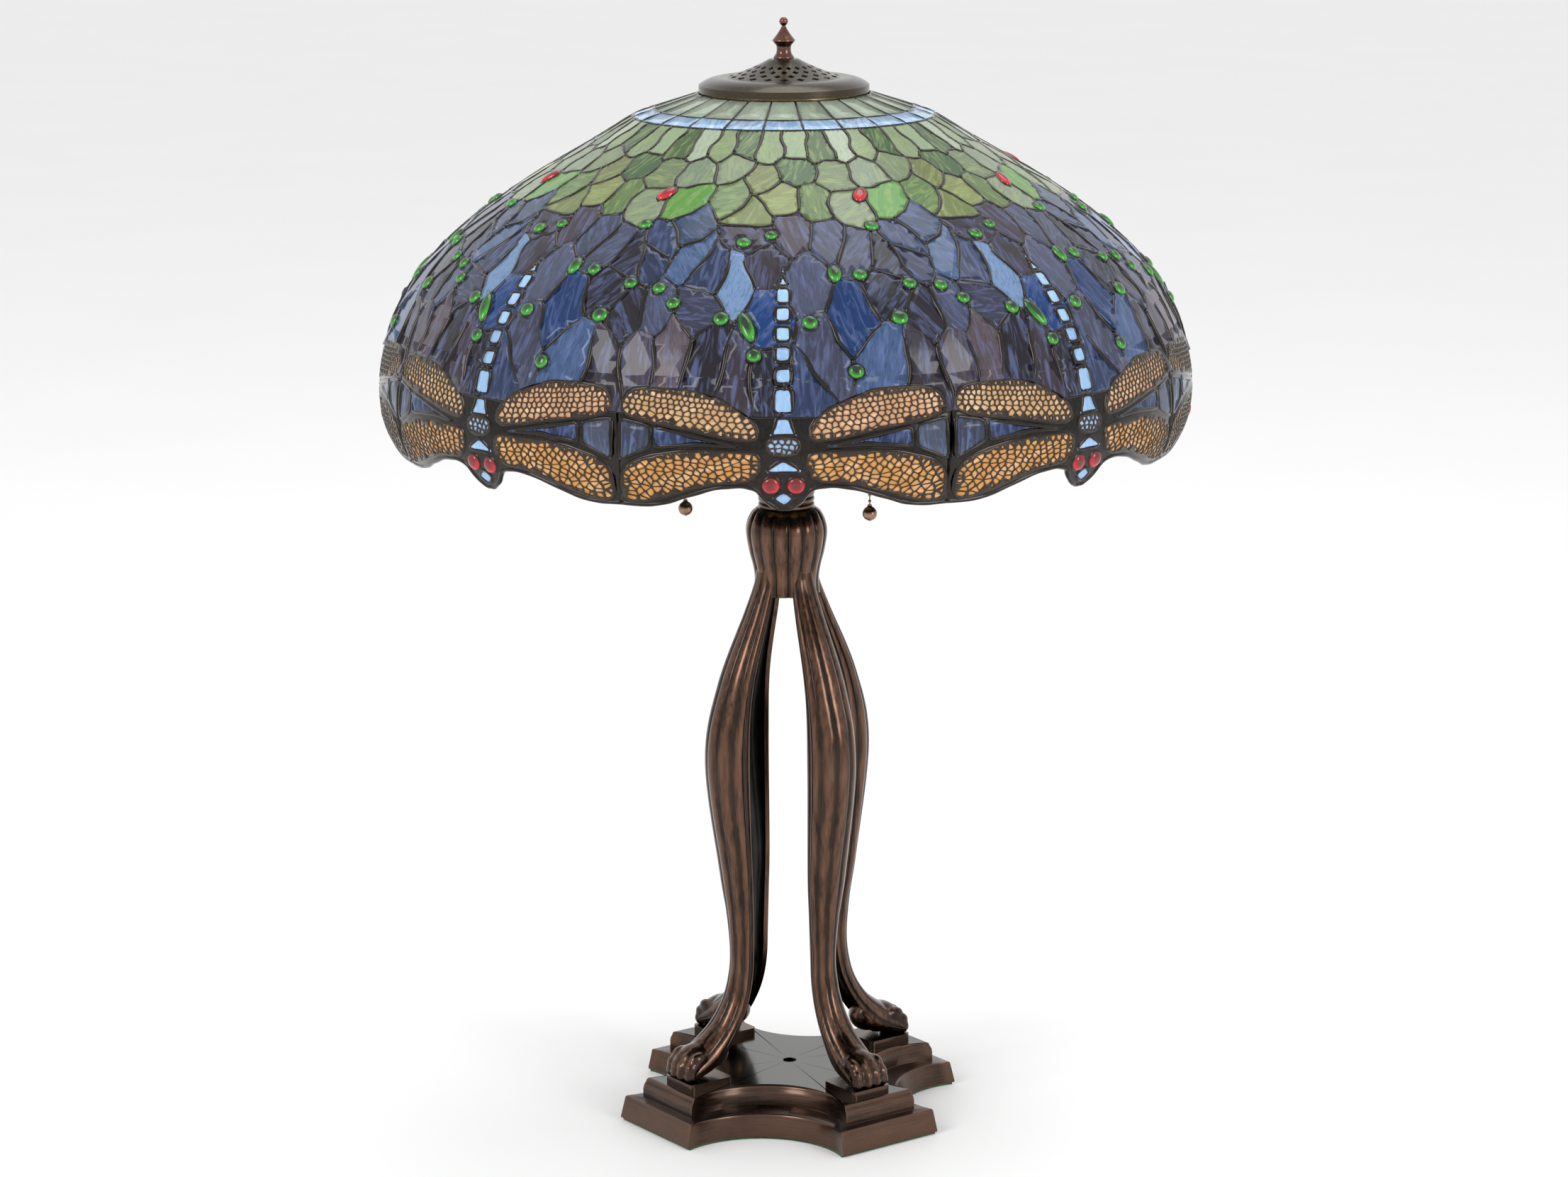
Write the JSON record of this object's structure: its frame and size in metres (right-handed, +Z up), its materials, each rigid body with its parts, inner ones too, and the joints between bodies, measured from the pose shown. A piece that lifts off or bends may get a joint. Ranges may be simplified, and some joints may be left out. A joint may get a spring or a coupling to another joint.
{
  "type": "table lamp",
  "caption": "Table lamp with a domed leaded-glass dragonfly shade, pull-chain sockets and a four-legged paw-foot bronze stand on a stepped base.",
  "frame": {"origin": "on the table, at the middle of the base", "axes": "+Z up, front towards -Y; the four legs stand on the diagonals"},
  "size_m": [0.5588, 0.5588, 0.7722],
  "materials": {
    "base_bronze": "antique copper bronze, brushed along the steps, waxed",
    "felt": "green baize",
    "iron": "as cast",
    "steel": "zinc plated",
    "leg_bronze": "antique copper bronze with rubbed copper highlights",
    "bushing_plastic": "moulded, matte",
    "brass": "aged brass",
    "chain_bronze": "dark bronze",
    "bulb_glass": "frosted",
    "liner_fibre": "pressed fibre",
    "thread_aluminium": "bright",
    "glass_crown": "opalescent, streaky grey-green",
    "glass_band": "opalescent, pale blue and white",
    "glass_leaf": "opalescent greens with white streaks",
    "glass_field": "dark purple and blue with streaks",
    "glass_skirt": "dark cobalt and purple",
    "glass_wing": "amber and peach opalescent",
    "glass_body": "light blue opalescent",
    "jewel_green": "pressed, clear green",
    "jewel_red": "pressed, clear red",
    "lead_patina": "soldered copper foil with dark patina",
    "filigree_bronze": "pierced, dark patina",
    "cap_bronze": "olive bronze, polished",
    "finial_copper": "polished copper bronze"
  },
  "bodies": {
    "root": {"arm_1": "brass", "arm_2": "brass", "arm_3": "brass", "baize_pad": "felt", "ballast_plate": "iron", "ballast_screws": "steel", "base_plinth": "base_bronze", "centre_contacts": "brass", "cluster_body": "brass", "cluster_nut": "steel", "cord_bushing": "bushing_plastic", "finial_stud": "brass", "front_legs": "leg_bronze", "neck_collar": "leg_bronze", "paw_screws": "steel", "paw_spacers": "leg_bronze", "rear_legs": "leg_bronze", "screw_shells": "thread_aluminium", "seat_nut": "steel", "shade_seat": "brass", "socket_cup_1": "brass", "socket_cup_2": "brass", "socket_cup_3": "brass", "socket_liners": "liner_fibre", "socket_shell_1": "brass", "socket_shell_2": "brass", "socket_shell_3": "brass", "stem_nut": "steel", "stem_pipe": "brass", "stem_washer": "steel"},
    "shade": {"shade_wheel": "brass", "crown_glass": "glass_crown", "band_glass": "glass_band", "leaf_glass": "glass_leaf", "field_glass": "glass_field", "skirt_glass": "glass_skirt", "wing_glass": "glass_wing", "body_glass": "glass_body", "green_jewels": "jewel_green", "red_jewels": "jewel_red", "shade_leads": "lead_patina", "wing_filigree": "filigree_bronze", "vented_cap": "cap_bronze"},
    "finial": {"finial": "finial_copper"},
    "bulb_1": {"bulb_cap_1": "brass", "bulb_glass_1": "bulb_glass"},
    "chain_1": {"chain_link_1": "brass"},
    "chain_end_1": {"chain_drop_1": "brass", "chain_ball_1": "chain_bronze"},
    "bulb_2": {"bulb_cap_2": "brass", "bulb_glass_2": "bulb_glass"},
    "chain_2": {"chain_link_2": "brass"},
    "chain_end_2": {"chain_drop_2": "brass", "chain_ball_2": "chain_bronze"},
    "bulb_3": {"bulb_cap_3": "brass", "bulb_glass_3": "bulb_glass"},
    "chain_3": {"chain_link_3": "brass"},
    "chain_end_3": {"chain_drop_3": "brass", "chain_ball_3": "chain_bronze"}
  },
  "joints": [
    {"name": "shade_turn", "type": "hinge", "parent": "root", "child": "shade", "pos_m": [0, 0, 0.712], "axis": [0, 0, 1], "continuous": true},
    {"name": "finial_screw", "type": "hinge", "parent": "root", "child": "finial", "pos_m": [0, 0, 0.7443], "axis": [0, 0, 1], "continuous": true},
    {"name": "bulb_screw_1", "type": "hinge", "parent": "root", "child": "bulb_1", "pos_m": [-0.04373, -0.02424, 0.53], "axis": [0, 0, 1], "continuous": true},
    {"name": "bulb_screw_2", "type": "hinge", "parent": "root", "child": "bulb_2", "pos_m": [0.04286, -0.02575, 0.53], "axis": [0, 0, 1], "continuous": true},
    {"name": "bulb_screw_3", "type": "hinge", "parent": "root", "child": "bulb_3", "pos_m": [0.00087, 0.04999, 0.53], "axis": [0, 0, 1], "continuous": true},
    {"name": "chain_pull_1", "type": "slide", "parent": "root", "child": "chain_1", "axis": [0, 0, -1], "range_m": [0, 0.008], "stiffness_N_per_m": 400},
    {"name": "chain_pull_2", "type": "slide", "parent": "root", "child": "chain_2", "axis": [0, 0, -1], "range_m": [0, 0.008], "stiffness_N_per_m": 400},
    {"name": "chain_pull_3", "type": "slide", "parent": "root", "child": "chain_3", "axis": [0, 0, -1], "range_m": [0, 0.008], "stiffness_N_per_m": 400},
    {"name": "chain_swing_1", "type": "hinge", "parent": "chain_1", "child": "chain_end_1", "pos_m": [-0.06472, -0.03588, 0.5206], "axis": [0.4848, -0.8746, 0], "range_deg": [-12, 12]},
    {"name": "chain_swing_2", "type": "hinge", "parent": "chain_2", "child": "chain_end_2", "pos_m": [0.06343, -0.03811, 0.5206], "axis": [0.515, 0.8572, 0], "range_deg": [-12, 12]},
    {"name": "chain_swing_3", "type": "hinge", "parent": "chain_3", "child": "chain_end_3", "pos_m": [0.00129, 0.07399, 0.5206], "axis": [-0.9998, 0.0175, 0], "range_deg": [-12, 12]}
  ]
}
